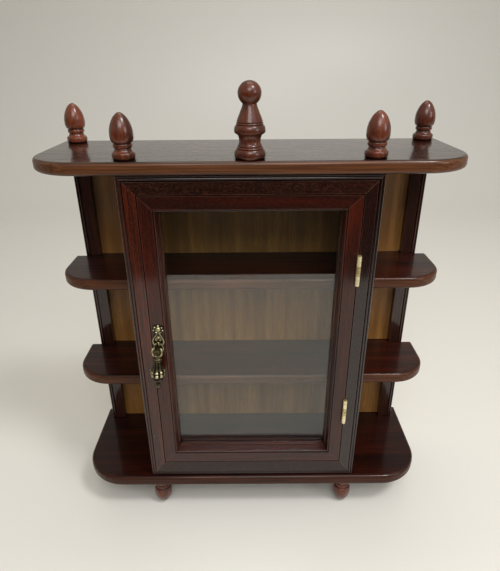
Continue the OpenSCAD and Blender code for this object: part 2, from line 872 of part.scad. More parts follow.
module top_dowel_set() {
    for (side = [-1, 1])
        for (b = carcass_b)
            translate([side * (side_outer_x - side_t / 2), at_b(b), ceiling_z - dowel_grip])
                cylinder(r = dowel_r, h = dowel_grip + top_dowel_in_board);
}

// Dowels that pass through a side panel from an inner shelf into a side shelf
module shelf_dowel_set() {
    for (side = [-1, 1])
        for (b = carcass_b)
            for (z = [lower_shelf_z, upper_shelf_z])
                translate([side * (side_outer_x - side_t / 2), at_b(b - 4), floor_z + z - shelf_t / 2])
                    rotate([0, 90, 0])
                        cylinder(r = dowel_r, h = side_t + 2 * dowel_grip, center = true);
}

// Pins through the back panel into the posts and the side panels
module panel_pin_set() {
    for (side = [-1, 1])
        for (x = [post_inner_x + panel_lap / 2, side_outer_x - side_t / 2])
            for (part = [0.1, 0.37, 0.63, 0.9])
                translate([side * x, at_b(panel_setback), floor_z + case_h * part])
                    rotate([90, 0, 0]) {
                        cylinder(r = pin_shank_r, h = panel_t + pin_grip);
                        translate([0, 0, -pin_head_h]) cylinder(r = pin_head_r, h = pin_head_h);
                    }
}

module base_screws() { color(steel) base_screw_set(); }
module top_dowels() { color(raw_wood) top_dowel_set(); }
module shelf_dowels() { color(raw_wood) shelf_dowel_set(); }
module panel_pins() { color(steel) panel_pin_set(); }

// ---------- wall hangers ----------

hanger_z = ceiling_z - hanger_drop;

// Keyhole from the back plane forward: a round hole for a screw's head and a slot above it
module keyhole(depth) {
    rotate([90, 0, 0]) cylinder(r = keyhole_r, h = depth);
    translate([0, 0, keyslot_rise]) rotate([90, 0, 0]) cylinder(r = keyslot_r, h = depth);
    translate([-keyslot_r, -depth, 0]) cube([2 * keyslot_r, depth, keyslot_rise]);
}

module hanger_plate() {
    translate([post_x, back_y, hanger_z]) difference() {
        translate([-hanger_w / 2, -hanger_t, -hanger_h / 2]) cube([hanger_w, hanger_t, hanger_h]);
        translate([0, cut, -keyslot_rise / 2]) keyhole(hanger_t + 2 * cut);
        hanger_screw_pair();
    }
}

module hanger_screw_pair() {
    for (dz = [-hanger_screw_z, hanger_screw_z])
        translate([0, 0, dz]) rotate([90, 0, 0])
            flat_screw(screw_head_r, screw_shank_r, hanger_t, hanger_screw_len);
}

// Recess in the right-hand post: the plate's seat and a pocket behind its keyhole
module hanger_recess() {
    translate([post_x, back_y, hanger_z]) {
        translate([-hanger_w / 2, -hanger_t, -hanger_h / 2]) cube([hanger_w, hanger_t + cut, hanger_h]);
        translate([-keyhole_r, -hanger_pocket_d, -keyslot_rise / 2 - keyhole_r])
            cube([2 * keyhole_r, hanger_pocket_d, keyslot_rise + 2 * keyhole_r]);
        hanger_screw_pair();
    }
}

module wall_hangers() {
    color(brass) for (side = [0, 1]) mirror([side, 0, 0]) hanger_plate();
}

module hanger_screws() {
    color(brass) for (side = [0, 1])
        mirror([side, 0, 0]) translate([post_x, back_y, hanger_z]) hanger_screw_pair();
}

// ---------- what is drawn ----------

bottom_board();
top_board();
left_post();
right_post();
back_panel();
left_side_panel();
right_side_panel();
left_lower_shelf();
left_upper_shelf();
right_lower_shelf();
right_upper_shelf();
inner_lower_shelf();
inner_upper_shelf();
frame_left_stile();
frame_right_stile();
frame_top_rail();
frame_bottom_rail();
door_left_stile();
door_right_stile();
door_top_rail();
door_bottom_rail();
glass_pane();
glass_bead_left();
glass_bead_right();
glass_bead_top();
glass_bead_bottom();
upper_hinge_frame_leaf();
upper_hinge_door_leaf();
upper_hinge_pin();
lower_hinge_frame_leaf();
lower_hinge_door_leaf();
lower_hinge_pin();
hinge_frame_screws();
hinge_door_screws();
handle_plate();
handle_post();
handle_pin();
handle_drop();
handle_nut();
handle_tacks();
catch_body();
catch_magnet();
catch_screws();
strike_plate();
centre_finial();
front_left_finial();
front_right_finial();
rear_left_finial();
rear_right_finial();
front_left_foot();
front_right_foot();
rear_left_foot();
rear_right_foot();
base_screws();
top_dowels();
shelf_dowels();
panel_pins();
wall_hangers();
hanger_screws();
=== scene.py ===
import json
import math

import bpy
import numpy as np
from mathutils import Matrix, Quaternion, Vector

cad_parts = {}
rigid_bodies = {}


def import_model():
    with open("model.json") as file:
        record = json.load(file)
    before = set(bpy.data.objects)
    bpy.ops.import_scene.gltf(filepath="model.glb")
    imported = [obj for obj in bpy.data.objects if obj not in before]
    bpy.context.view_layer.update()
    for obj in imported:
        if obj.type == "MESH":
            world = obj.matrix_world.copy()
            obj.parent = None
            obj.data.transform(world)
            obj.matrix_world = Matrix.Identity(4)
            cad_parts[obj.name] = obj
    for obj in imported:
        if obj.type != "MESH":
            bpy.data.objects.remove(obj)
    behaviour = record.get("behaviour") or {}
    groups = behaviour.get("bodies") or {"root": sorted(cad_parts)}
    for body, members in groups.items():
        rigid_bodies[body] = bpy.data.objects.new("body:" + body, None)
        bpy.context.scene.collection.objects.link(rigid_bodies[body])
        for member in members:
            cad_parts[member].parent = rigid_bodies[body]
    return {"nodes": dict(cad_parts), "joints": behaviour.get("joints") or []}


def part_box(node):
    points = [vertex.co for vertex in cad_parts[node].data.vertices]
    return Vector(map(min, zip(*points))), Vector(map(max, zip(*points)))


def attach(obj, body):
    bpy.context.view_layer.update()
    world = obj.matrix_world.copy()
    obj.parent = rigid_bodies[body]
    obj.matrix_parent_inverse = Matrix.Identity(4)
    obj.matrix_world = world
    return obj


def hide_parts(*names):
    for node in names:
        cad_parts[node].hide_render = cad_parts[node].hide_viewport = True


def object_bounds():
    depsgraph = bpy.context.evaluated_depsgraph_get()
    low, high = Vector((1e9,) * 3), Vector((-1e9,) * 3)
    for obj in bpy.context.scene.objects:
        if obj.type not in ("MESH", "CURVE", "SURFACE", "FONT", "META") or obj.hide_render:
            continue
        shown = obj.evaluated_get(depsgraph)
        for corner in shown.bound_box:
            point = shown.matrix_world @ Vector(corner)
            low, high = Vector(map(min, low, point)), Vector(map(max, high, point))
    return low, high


for leftover in list(bpy.data.objects):
    bpy.data.objects.remove(leftover)
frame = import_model()
CAD_BOX = [list(corner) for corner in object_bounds()]

bl_info = {
    "name": "Display Case Looks",
    "version": (1, 0, 0),
    "blender": (4, 5, 0),
    "location": "View3D > Sidebar > Display Case",
    "description": "Finishes, cast brass handle and studio for a small mahogany display case",
    "category": "Object",
}

MM = 0.001
NODES = frame["nodes"]
JOINTS = {joint["name"]: joint for joint in frame["joints"]}


# ---------- helpers ----------

def linear(hex_colour):
    """An sRGB hex colour such as "#8a4b2f" as linear red, green and blue, with an alpha of 1."""
    c = np.array([int(hex_colour[i:i + 2], 16) for i in (1, 3, 5)]) / 255
    rgb = np.where(c <= 0.04045, c / 12.92, ((c + 0.055) / 1.055) ** 2.4)
    return (*map(float, rgb), 1.0)


def add(tree, kind, inputs=None, **settings):
    """Adds one node. inputs gives its sockets, by name or number, a value or another node's output."""
    node = tree.nodes.new(kind)
    for key, value in settings.items():
        setattr(node, key, value)
    for key, value in (inputs or {}).items():
        if isinstance(value, bpy.types.NodeSocket):
            tree.links.new(value, node.inputs[key])
        else:
            node.inputs[key].default_value = value
    return node


def new_material(name):
    """An empty node material, as the material and its tree."""
    material = bpy.data.materials.new(name)
    material.use_nodes = True
    material.node_tree.nodes.clear()
    return material, material.node_tree


def finish_nodes(names, material):
    """Gives CAD nodes a material in their slot, and leaves their meshes as they are."""
    for name in names:
        NODES[name].material_slots[0].link = "OBJECT"
        NODES[name].material_slots[0].material = material


def colour(name, hex_colour, description):
    """A colour property whose default is an sRGB hex value."""
    return bpy.props.FloatVectorProperty(
        name=name, description=description, subtype="COLOR", size=4, min=0, max=1,
        default=linear(hex_colour))


def length(name, metres, description):
    """A length property in metres."""
    return bpy.props.FloatProperty(
        name=name, description=description, unit="LENGTH", default=metres, min=0, precision=5)


# ---------- settings ----------

class WoodSettings(bpy.types.PropertyGroup):
    """Stains of each kind of piece, and the sizes of the grain and its wear"""
    case_dark: colour("Case dark", "#130402", "Dark stain in the grain of boards, posts and side panels")
    case_light: colour("Case light", "#371209", "Light stain in the grain of boards, posts and side panels")
    # Upright light colour: stain lifted to paint sheen onto the posts and side panels
    upright_light_and_painted_sheen: colour("Upright light", "#421b12", "Light stain in the posts and side panels")
    # Rubbed edge colour: rubbed stain on arrises, and painted light on the boards' and shelves' sides
    edge_wear_and_painted_side_light: colour("Rubbed edge", "#6b4329", "Thin stain where the lacquer is rubbed on edges")
    # Pale arris colour: rubbed stain on the mouldings' arrises, and painted highlight there as well
    pale_arris_wear_and_painted_highlight: colour("Pale arris", "#8a6050", "Stain rubbed off the mouldings' arrises")
    fleck_brown: colour("Fleck", "#5f3420", "Pale flecks of the figure")
    frame_dark: colour("Frame dark", "#110302", "Dark stain in the face frame's grain")
    frame_light: colour("Frame light", "#521a08", "Light stain in the face frame's left stile")
    frame_brown: colour("Frame brown", "#220a05", "Light stain in the rest of the face frame")
    shelf_dark: colour("Shelf dark", "#1a0603", "Dark stain in the shelves' grain")
    shelf_light: colour("Shelf light", "#43160b", "Light stain in the shelves' grain")
    door_dark: colour("Door dark", "#1c0502", "Dark stain in the door's grain")
    door_light: colour("Door light", "#471407", "Light stain in the door's grain")
    turned_dark: colour("Turned dark", "#30120b", "Dark growth rings of the turnings")
    turned_light: colour("Turned light", "#763922", "Light growth rings of the turnings")
    centre_light: colour("Centre light", "#66311c", "Light growth rings of the centre finial")
    turned_rub: colour("Turned rub", "#80573f", "Thin stain rubbed off the turnings' rings")
    ply_dark: colour("Panel dark", "#774d20", "Dark streaks of the back panel")
    ply_light: colour("Panel light", "#ae7b3c", "Light streaks of the back panel")
    figure_width: length("Figure width", 0.012, "Width of the broad bands of the grain")
    figure_length: length("Figure length", 0.16, "Length of the broad bands of the grain")
    line_width: length("Line width", 0.0012, "Width of one grain line")
    line_length: length("Line length", 0.06, "Length of one grain line")
    pore_width: length("Pore width", 0.0006, "Width of one open pore, drawn coarse to be seen")
    pore_length: length("Pore length", 0.007, "Length of one open pore")
    fleck_width: length("Fleck width", 0.0011, "Width of one fleck of the figure")
    fleck_length: length("Fleck length", 0.0018, "Length of one fleck of the figure")
    wear_radius: length("Wear radius", 0.0008, "How far edge wear reaches from an arris")
    # This reach sets how far painted shade spreads out of gaps and corners
    painted_shade_reach: length("Grime reach", 0.0024, "How far dark polish reaches out of gaps and corners")
    tenon_radius: length("Tenon radius", 0.002, "Of the turnings' tenons")


class HandleSettings(bpy.types.PropertyGroup):
    """Patina and ornament of the cast handle"""
    recess: colour("Recess", "#100d09", "Black patina left in the hollows")
    middle: colour("Middle", "#4c4634", "Brown patina between hollows and crests")
    crest: colour("Crest", "#bfb48c", "Brass rubbed bright on the crests")
    lean: bpy.props.FloatProperty(
        name="Lean", description="Turn of the handle about its post, clockwise from the front",
        subtype="ANGLE", default=math.radians(3.4))
    petals: bpy.props.IntProperty(name="Petals", description="Petals of the rosette", default=7, min=3)
    lobes: bpy.props.IntProperty(
        name="Lobes", description="Lobes around the knob and flutes around the neck", default=8, min=4)


class StageSettings(bpy.types.PropertyGroup):
    """Floor, light and camera"""
    floor: colour("Floor", "#d7d4cd", "Pale floor")
    wall: colour("Wall", "#cdc3ae", "Pale light from behind")
    ceiling: colour("Ceiling", "#a9a8a4", "Soft light from above")
    room: colour("Room", "#22211f", "Dark room past the floor's front edge")
    camera_distance: length("Camera distance", 0.4466, "From the case's back plane")
    camera_height: length("Camera height", 0.3736, "Above the bottom board's top")
    camera_tilt: bpy.props.FloatProperty(
        name="Tilt", description="How far the camera looks down", subtype="ANGLE",
        default=math.radians(25.47))
    camera_yaw: bpy.props.FloatProperty(
        name="Yaw", description="Turn of the camera to the left", subtype="ANGLE",
        default=math.radians(0.122))
    camera_roll: bpy.props.FloatProperty(
        name="Roll", description="Turn of the camera about its line of sight", subtype="ANGLE",
        default=math.radians(-0.463))
    lens: bpy.props.FloatProperty(
        name="Lens", description="Focal length", unit="CAMERA", default=29.91, min=1)
    floor_front: length("Floor front", 0.60, "How far the floor reaches in front of the case's middle")


# ---------- surfaces ----------

def smooth_path(points, count):
    """count points along a Catmull-Rom curve through the given points."""
    p = np.asarray(points, float)
    p = np.concatenate(([2 * p[0] - p[1]], p, [2 * p[-1] - p[-2]]))
    t = np.linspace(0, len(p) - 3, count)
    i = np.minimum(t.astype(int), len(p) - 4)
    f = (t - i)[:, None]
    a, b, c, d = p[i], p[i + 1], p[i + 2], p[i + 3]
    return (2 * b + (c - a) * f + (2 * a - 5 * b + 4 * c - d) * f ** 2
            + (3 * b - a - 3 * c + d) * f ** 3) / 2


def around(columns):
    """Angles once around, without the last."""
    return np.linspace(0, 2 * math.pi, columns, endpoint=False)


def shell_faces(rows, columns):
    """Faces of a shell of rings: quads between them, and fans to the two points that come last."""
    ring, c = np.meshgrid(np.arange(rows - 1), np.arange(columns), indexing="ij")
    n = (c + 1) % columns
    quads = np.stack((ring * columns + c, ring * columns + n, (ring + 1) * columns + n,
                      (ring + 1) * columns + c), -1).reshape(-1, 4)
    c, n = c[0], n[0]
    top, end, last = rows * columns, rows * columns + 1, (rows - 1) * columns
    fans = np.concatenate((np.stack((n, c, np.full(columns, top)), 1),
                           np.stack((last + c, last + n, np.full(columns, end)), 1)))
    return quads, fans


def cast_object(name, shells, place, lean, material):
    """Joins closed shells in mm into one object, turned by lean about Y and set at place.

    Each shell is rings of points with their relief. A fan around the middle of its first and last
    ring closes it, and a shell whose signed volume is negative has its faces turned over.
    """
    points, reliefs, faces, start = [], [], [], 0
    for rings, relief in shells:
        quads, fans = shell_faces(*rings.shape[:2])
        cloud = np.concatenate((rings.reshape(-1, 3), [rings[0].mean(0), rings[-1].mean(0)]))
        triangles = np.concatenate((quads[:, :3], quads[:, [0, 2, 3]], fans))
        a, b, c = (cloud[triangles[:, corner]] for corner in range(3))
        if np.einsum("ij,ij->", a, np.cross(b, c)) < 0:
            quads, fans = quads[:, ::-1], fans[:, ::-1]
        points.append(cloud)
        reliefs.append(np.concatenate((relief.ravel(), [relief[0].mean(), relief[-1].mean()])))
        faces += (quads + start).tolist() + (fans + start).tolist()
        start += len(cloud)
    x, y, z = (np.concatenate(points) * MM).T
    turned = np.stack((x * math.cos(lean) + z * math.sin(lean), y,
                       z * math.cos(lean) - x * math.sin(lean)), 1)
    mesh = bpy.data.meshes.new(name)
    mesh.from_pydata((turned + np.array(place)).tolist(), [], faces)
    mesh.shade_smooth()
    mesh.attributes.new("relief", "FLOAT", "POINT").data.foreach_set(
        "value", np.concatenate(reliefs).astype(np.float32))
    mesh.materials.append(material)
    piece = bpy.data.objects.new(name, mesh)
    bpy.context.scene.collection.objects.link(piece)
    return piece


# ---------- wood ----------

UPRIGHTS = ["left_post", "right_post", "left_side_panel", "right_side_panel"]
SHELVES = ["left_lower_shelf", "left_upper_shelf", "right_lower_shelf", "right_upper_shelf",
           "inner_lower_shelf", "inner_upper_shelf", "catch_body"]
DOOR_LEVEL = ["door_top_rail", "door_bottom_rail", "glass_bead_top", "glass_bead_bottom"]
DOOR_UPRIGHT = ["door_left_stile", "door_right_stile", "glass_bead_left", "glass_bead_right"]
TURNINGS = ["centre_finial", "front_left_finial", "front_right_finial", "rear_left_finial",
            "rear_right_finial", "front_left_foot", "front_right_foot", "rear_left_foot",
            "rear_right_foot"]


def grain_scale(axis, across, along):
    """Scale of a pattern whose cells are this long along the grain's axis and this wide across it."""
    return tuple(1 / (along if letter == axis else across) for letter in "XYZ")


def grain_noise(tree, place, axis, across, along, detail, **inputs):
    """Noise drawn out along the grain, as the output that carries it."""
    cells = add(tree, "ShaderNodeMapping", {"Vector": place, "Scale": grain_scale(axis, across, along)})
    noise = add(tree, "ShaderNodeTexNoise", {
        "Vector": cells.outputs[0], "Scale": 1, "Detail": detail, **inputs})
    return noise.outputs[0]


def arris_mask(tree, radius, sharp, strength=1.0):
    """Strength on an edge and 0 away from it, from how far a rounded normal turns off the true one."""
    rounded = add(tree, "ShaderNodeBevel", {"Radius": radius}, samples=4)
    true = add(tree, "ShaderNodeNewGeometry")
    match = add(tree, "ShaderNodeVectorMath", {0: rounded.outputs[0], 1: true.outputs["Normal"]},
                operation="DOT_PRODUCT")
    mask = add(tree, "ShaderNodeMapRange", {
        "Value": match.outputs["Value"], "From Min": 0.98, "From Max": sharp, "To Max": strength})
    return mask.outputs[0]


def stained_grain(tree, figure, line, pores, dark, light, lines):
    """Broad bands of dark and light stain, then dark lines, then short pores: colour and pore mask."""
    band = add(tree, "ShaderNodeMapRange", {"Value": figure, "From Min": 0.3, "From Max": 0.7})
    stain = add(tree, "ShaderNodeMix", {0: band.outputs[0], 6: dark, 7: light}, data_type="RGBA")
    drawn = add(tree, "ShaderNodeMapRange", {
        "Value": line, "From Min": 0.42, "From Max": 0.62, "To Max": lines})
    lined = add(tree, "ShaderNodeMix", {0: drawn.outputs[0], 6: stain.outputs[2], 7: dark},
                data_type="RGBA")
    pore = add(tree, "ShaderNodeMapRange", {
        "Value": pores, "From Min": 0.58, "From Max": 0.68, "To Max": 0.75})
    pored = add(tree, "ShaderNodeMix", {
        0: pore.outputs[0], 6: lined.outputs[2], 7: linear("#120503")}, data_type="RGBA")
    return pored.outputs[2], pore.outputs[0]


def flecked(tree, place, axis, stain, mottle, wood):
    """Short flecks of quarter-sawn figure over the stain."""
    fleck = grain_noise(tree, place, axis, wood.fleck_width, wood.fleck_length, 3, Roughness=0.7)
    spots = add(tree, "ShaderNodeMapRange", {
        "Value": fleck, "From Min": 0.46, "From Max": 0.68, "To Max": mottle})
    mixed = add(tree, "ShaderNodeMix", {0: spots.outputs[0], 6: stain, 7: wood.fleck_brown},
                data_type="RGBA")
    return mixed.outputs[2]


def sides_rubbed_and_painted_light(tree, line, stain, edge, side_rub_and_painted_light, coat):
    """Faces that don't lie level, painted paler in streaks as rubbed stain and painted light, under thinner
    lacquer: colour and coat.
    """
    normal = add(tree, "ShaderNodeNewGeometry").outputs["Normal"]
    upward = add(tree, "ShaderNodeVectorMath", {0: normal, 1: (0, 0, 1)}, operation="DOT_PRODUCT")
    level = add(tree, "ShaderNodeMath", {0: upward.outputs["Value"]}, operation="ABSOLUTE")
    # Painted light and rubbed stain: the steeper a face, the paler its colour
    steep_rub_and_painted_light = add(tree, "ShaderNodeMapRange", {
        "Value": level.outputs[0], "From Min": 0.97, "From Max": 0.6, "To Max": side_rub_and_painted_light})
    thinned = add(tree, "ShaderNodeMapRange", {
        "Value": level.outputs[0], "From Min": 0.97, "From Max": 0.6, "To Min": coat,
        "To Max": coat * 0.35})
    streaky = add(tree, "ShaderNodeMapRange", {
        "Value": line, "From Min": 0.25, "From Max": 0.6, "To Min": 1.2, "To Max": 0.5})
    amount = add(tree, "ShaderNodeMath", {0: steep_rub_and_painted_light.outputs[0], 1: streaky.outputs[0]},
                 operation="MULTIPLY", use_clamp=True)
    # Paler edge colour on the sides: rubbed stain and painted light
    rubbed = add(tree, "ShaderNodeMix", {0: amount.outputs[0], 6: stain, 7: edge}, data_type="RGBA")
    return rubbed.outputs[2], thinned.outputs[0]


def painted_shade_in_gaps(tree, stain, coat, reach):
    """Painted shade in gaps and inner corners, by how closed in they are, and duller lacquer there: colour
    and coat.
    """
    # Painted shade: near black where ambient occlusion finds the surface closed in
    occlusion = add(tree, "ShaderNodeAmbientOcclusion", {"Distance": reach}, samples=6)
    unshaded = add(tree, "ShaderNodeMapRange", {
        "Value": occlusion.outputs["AO"], "From Min": 0.4, "From Max": 0.85})
    shaded = add(tree, "ShaderNodeMix", {0: unshaded.outputs[0], 6: linear("#060302"), 7: stain},
                 data_type="RGBA")
    dulled = add(tree, "ShaderNodeMath", {0: coat, 1: unshaded.outputs[0]}, operation="MULTIPLY")
    return shaded.outputs[2], dulled.outputs[0]


def lacquered_wood(name, axis, dark, light, edge, wood, coat=0.9, haze=0.1, side_rub_and_painted_light=0.0, mottle=0.0,
                   lines=0.85, ripple=0.25):
    """Stained mahogany under gloss lacquer, brushed on in thin coats.

    It gives the eye long red-brown bands, fine grain lines, short dark pores, a wavy gloss, paler
    stain on the arrises, rubbed by hands and, with the pale arris colour, painted highlight too,
    and painted shade in the gaps and inner corners. coat and haze are the lacquer's weight and
    roughness, rim how far faces that don't lie level are painted paler, as rubbed stain and painted
    light on the sides, under thinner lacquer, mottle how strong the flecks of figure are, lines how
    dark the grain lines, ripple how wavy the gloss. A piece has rim or mottle, not both.
    """
    material, tree = new_material(name)
    place = add(tree, "ShaderNodeTexCoord").outputs["Object"]
    figure = grain_noise(tree, place, axis, wood.figure_width, wood.figure_length, 3, Distortion=0.8)
    line = grain_noise(tree, place, axis, wood.line_width, wood.line_length, 2, Distortion=0.3)
    pores = grain_noise(tree, place, axis, wood.pore_width, wood.pore_length, 1, Distortion=0.2)
    brushing = grain_noise(tree, place, axis, 0.005, 0.03, 1)

    stain, pore = stained_grain(tree, figure, line, pores, dark, light, lines)
    if mottle:
        stain = flecked(tree, place, axis, stain, mottle, wood)
    # rim: sides painted paler, as rubbed stain and painted light
    if side_rub_and_painted_light:
        stain, coat = sides_rubbed_and_painted_light(tree, line, stain, edge, side_rub_and_painted_light, coat)
    # Edge colour on the arrises: rubbed stain, and with the pale arris colour painted highlight too
    arris = arris_mask(tree, wood.wear_radius, 0.85, 0.6)
    patchy = add(tree, "ShaderNodeMath", {0: arris, 1: brushing}, operation="MULTIPLY")
    arris_wear_and_painted_highlight = add(tree, "ShaderNodeMix", {0: patchy.outputs[0], 6: stain, 7: edge}, data_type="RGBA")
    # Painted shade in the gaps and inner corners
    tone, coat = painted_shade_in_gaps(tree, arris_wear_and_painted_highlight.outputs[2], coat, wood.painted_shade_reach)

    gloss = add(tree, "ShaderNodeMapRange", {
        "Value": line, "From Min": 0.3, "From Max": 0.7, "To Min": 0.3, "To Max": 0.45})
    telegraphed = add(tree, "ShaderNodeBump", {
        "Height": line, "Strength": lines * 0.5, "Distance": 0.00006})
    waves = add(tree, "ShaderNodeBump", {
        "Height": brushing, "Strength": ripple, "Distance": 0.0003, "Normal": telegraphed.outputs[0]})
    grooves = add(tree, "ShaderNodeBump", {
        "Height": pore, "Strength": 0.5, "Distance": 0.00006, "Normal": waves.outputs[0]}, invert=True)
    shader = add(tree, "ShaderNodeBsdfPrincipled", {
        "Base Color": tone, "Roughness": gloss.outputs[0], "IOR": 1.5, "Specular IOR Level": 0.12,
        "Normal": grooves.outputs[0], "Coat Weight": coat, "Coat Roughness": haze, "Coat IOR": 1.5,
        "Coat Normal": waves.outputs[0]})
    add(tree, "ShaderNodeOutputMaterial", {"Surface": shader.outputs[0]})
    return material


def plywood(name, wood):
    """Oak-faced plywood, golden brown stain and one satin coat: long upright streaks, dull sheen."""
    material, tree = new_material(name)
    place = add(tree, "ShaderNodeTexCoord").outputs["Object"]
    streaks = grain_noise(tree, place, "Z", 0.008, 0.2, 2)
    fibres = grain_noise(tree, place, "Z", 0.0008, 0.012, 3)
    blotches = grain_noise(tree, place, "Z", 0.022, 0.12, 2)
    streak = add(tree, "ShaderNodeMapRange", {"Value": streaks, "From Min": 0.25, "From Max": 0.75})
    fibre = add(tree, "ShaderNodeMapRange", {
        "Value": fibres, "From Min": 0.4, "From Max": 0.7, "To Max": 0.6})
    blotch = add(tree, "ShaderNodeMapRange", {
        "Value": blotches, "From Min": 0.45, "From Max": 0.75, "To Max": 0.45})
    stain = add(tree, "ShaderNodeMix", {
        0: streak.outputs[0], 6: wood.ply_dark, 7: wood.ply_light}, data_type="RGBA")
    combed = add(tree, "ShaderNodeMix", {
        0: fibre.outputs[0], 6: stain.outputs[2], 7: wood.ply_dark}, data_type="RGBA")
    aged = add(tree, "ShaderNodeMix", {
        0: blotch.outputs[0], 6: combed.outputs[2], 7: linear("#4e3216")}, data_type="RGBA")
    gloss = add(tree, "ShaderNodeMapRange", {"Value": fibres, "To Min": 0.42, "To Max": 0.62})
    relief = add(tree, "ShaderNodeBump", {"Height": fibres, "Strength": 0.4, "Distance": 0.00008})
    shader = add(tree, "ShaderNodeBsdfPrincipled", {
        "Base Color": aged.outputs[2], "Roughness": gloss.outputs[0], "Normal": relief.outputs[0]})
    add(tree, "ShaderNodeOutputMaterial", {"Surface": shader.outputs[0]})
    return material


def raw_beech(name):
    """Turned beech dowel, unfinished: pale, matt, with short brown flecks."""
    material, tree = new_material(name)
    place = add(tree, "ShaderNodeTexCoord").outputs["Object"]
    fleck = grain_noise(tree, place, "Z", 0.0006, 0.004, 2)
    tone = add(tree, "ShaderNodeMix", {0: fleck, 6: linear("#a37c50"), 7: linear("#d8bd93")},
               data_type="RGBA")
    rough = add(tree, "ShaderNodeMapRange", {"Value": fleck, "To Min": 0.6, "To Max": 0.8})
    relief = add(tree, "ShaderNodeBump", {"Height": fleck, "Strength": 0.3, "Distance": 0.00005})
    shader = add(tree, "ShaderNodeBsdfPrincipled", {
        "Base Color": tone.outputs[2], "Roughness": rough.outputs[0], "Normal": relief.outputs[0]})
    add(tree, "ShaderNodeOutputMaterial", {"Surface": shader.outputs[0]})
    return material


class LacquerCase(bpy.types.Operator):
    """Finish the boards, posts, side panels and face frame"""
    bl_idname = "display_case.lacquer_case"
    bl_label = "Lacquer Case"

    def execute(self, context):
        wood = context.scene.case_wood
        # rim paints the boards' sides paler: rubbed stain and painted light
        for name, coat, side_rub_and_painted_light in (("top_board", 0.85, 0.8), ("bottom_board", 0.4, 0.2)):
            finish_nodes([name], lacquered_wood(
                f"{name}_mahogany", "X", wood.case_dark, wood.case_light, wood.edge_wear_and_painted_side_light, wood,
                coat=coat, side_rub_and_painted_light=side_rub_and_painted_light))
        # The uprights' light colour carries painted sheen
        finish_nodes(UPRIGHTS, lacquered_wood(
            "upright_mahogany", "Z", wood.case_dark, wood.upright_light_and_painted_sheen, wood.edge_wear_and_painted_side_light, wood,
            mottle=0.3))
        # Pale arris colour: rubbed stain and painted highlight on the frame's arrises
        for name, axis, light, mottle, coat in (
                ("frame_left_stile", "Z", wood.frame_light, 0.4, 0.85),
                ("frame_right_stile", "Z", wood.frame_brown, 0.08, 1.0),
                ("frame_top_rail", "X", wood.frame_brown, 0.4, 0.85),
                ("frame_bottom_rail", "X", wood.frame_brown, 0.25, 0.6)):
            finish_nodes([name], lacquered_wood(
                f"{name}_mahogany", axis, wood.frame_dark, light, wood.pale_arris_wear_and_painted_highlight, wood,
                coat=coat, mottle=mottle))
        return {"FINISHED"}


class LacquerShelves(bpy.types.Operator):
    """Finish the six shelves and the catch block"""
    bl_idname = "display_case.lacquer_shelves"
    bl_label = "Lacquer Shelves"

    def execute(self, context):
        wood = context.scene.case_wood
        # rim paints the shelves' edges paler: rubbed stain and painted light
        finish_nodes(SHELVES, lacquered_wood(
            "shelf_mahogany", "X", wood.shelf_dark, wood.shelf_light, wood.edge_wear_and_painted_side_light, wood,
            coat=0.45, side_rub_and_painted_light=0.5))
        return {"FINISHED"}


class LacquerDoor(bpy.types.Operator):
    """Finish the door's frame and the beads behind its glass"""
    bl_idname = "display_case.lacquer_door"
    bl_label = "Lacquer Door"

    def execute(self, context):
        wood = context.scene.case_wood
        # Pale arris colour: rubbed stain and painted highlight on the door's arrises
        for axis, names in (("X", DOOR_LEVEL), ("Z", DOOR_UPRIGHT)):
            finish_nodes(names, lacquered_wood(
                f"door_mahogany_{axis.lower()}", axis, wood.door_dark, wood.door_light,
                wood.pale_arris_wear_and_painted_highlight, wood, coat=0.72, mottle=0.2))
        return {"FINISHED"}


# Outlines of the turnings in mm: radius, then height above the board's face, from the top down
BALL = 8.4
ACORN = [(0.2, 32.9), (1.3, 32.6), (2.8, 31.6), (4.6, 29.8), (6.2, 27.2), (7.5, 24.2), (8.3, 20.9),
         (8.55, 17.8), (8.4, 15.2), (7.9, 13.3), (7.3, 12.4), (6.4, 12.0), (6.35, 11.6), (6.75, 11.2),
         (6.95, 10.6), (6.95, 9.6), (6.7, 8.8), (6.0, 8.4), (5.9, 8.0), (6.2, 7.5), (6.3, 6.9),
         (6.7, 6.2), (7.4, 5.6), (8.2, 5.0), (8.5, 4.1), (8.55, 3.0), (8.4, 1.8), (8.0, 0.8),
         (7.6, 0.05)]
CENTRE = [(5.1, 37.8), (5.15, 37.3), (5.4, 36.3), (5.85, 35.0), (6.5, 33.4), (7.4, 31.2), (8.3, 29.1),
          (9.0, 27.3), (9.4, 26.2), (9.45, 25.9), (9.05, 25.5), (9.7, 25.0), (9.95, 24.4),
          (9.6, 23.9), (10.4, 23.3), (11.1, 21.9), (11.4, 20.2), (11.25, 18.8), (10.6, 17.9),
          (9.6, 17.4), (8.7, 16.4), (8.1, 14.9), (7.9, 13.3), (8.0, 11.8), (8.4, 10.3), (9.0, 9.4),
          (8.7, 8.9), (9.4, 8.4), (9.9, 7.7), (9.55, 7.2), (10.4, 6.6), (11.2, 5.1), (11.5, 3.5),
          (11.35, 1.9), (10.9, 0.7), (10.4, 0.05)]


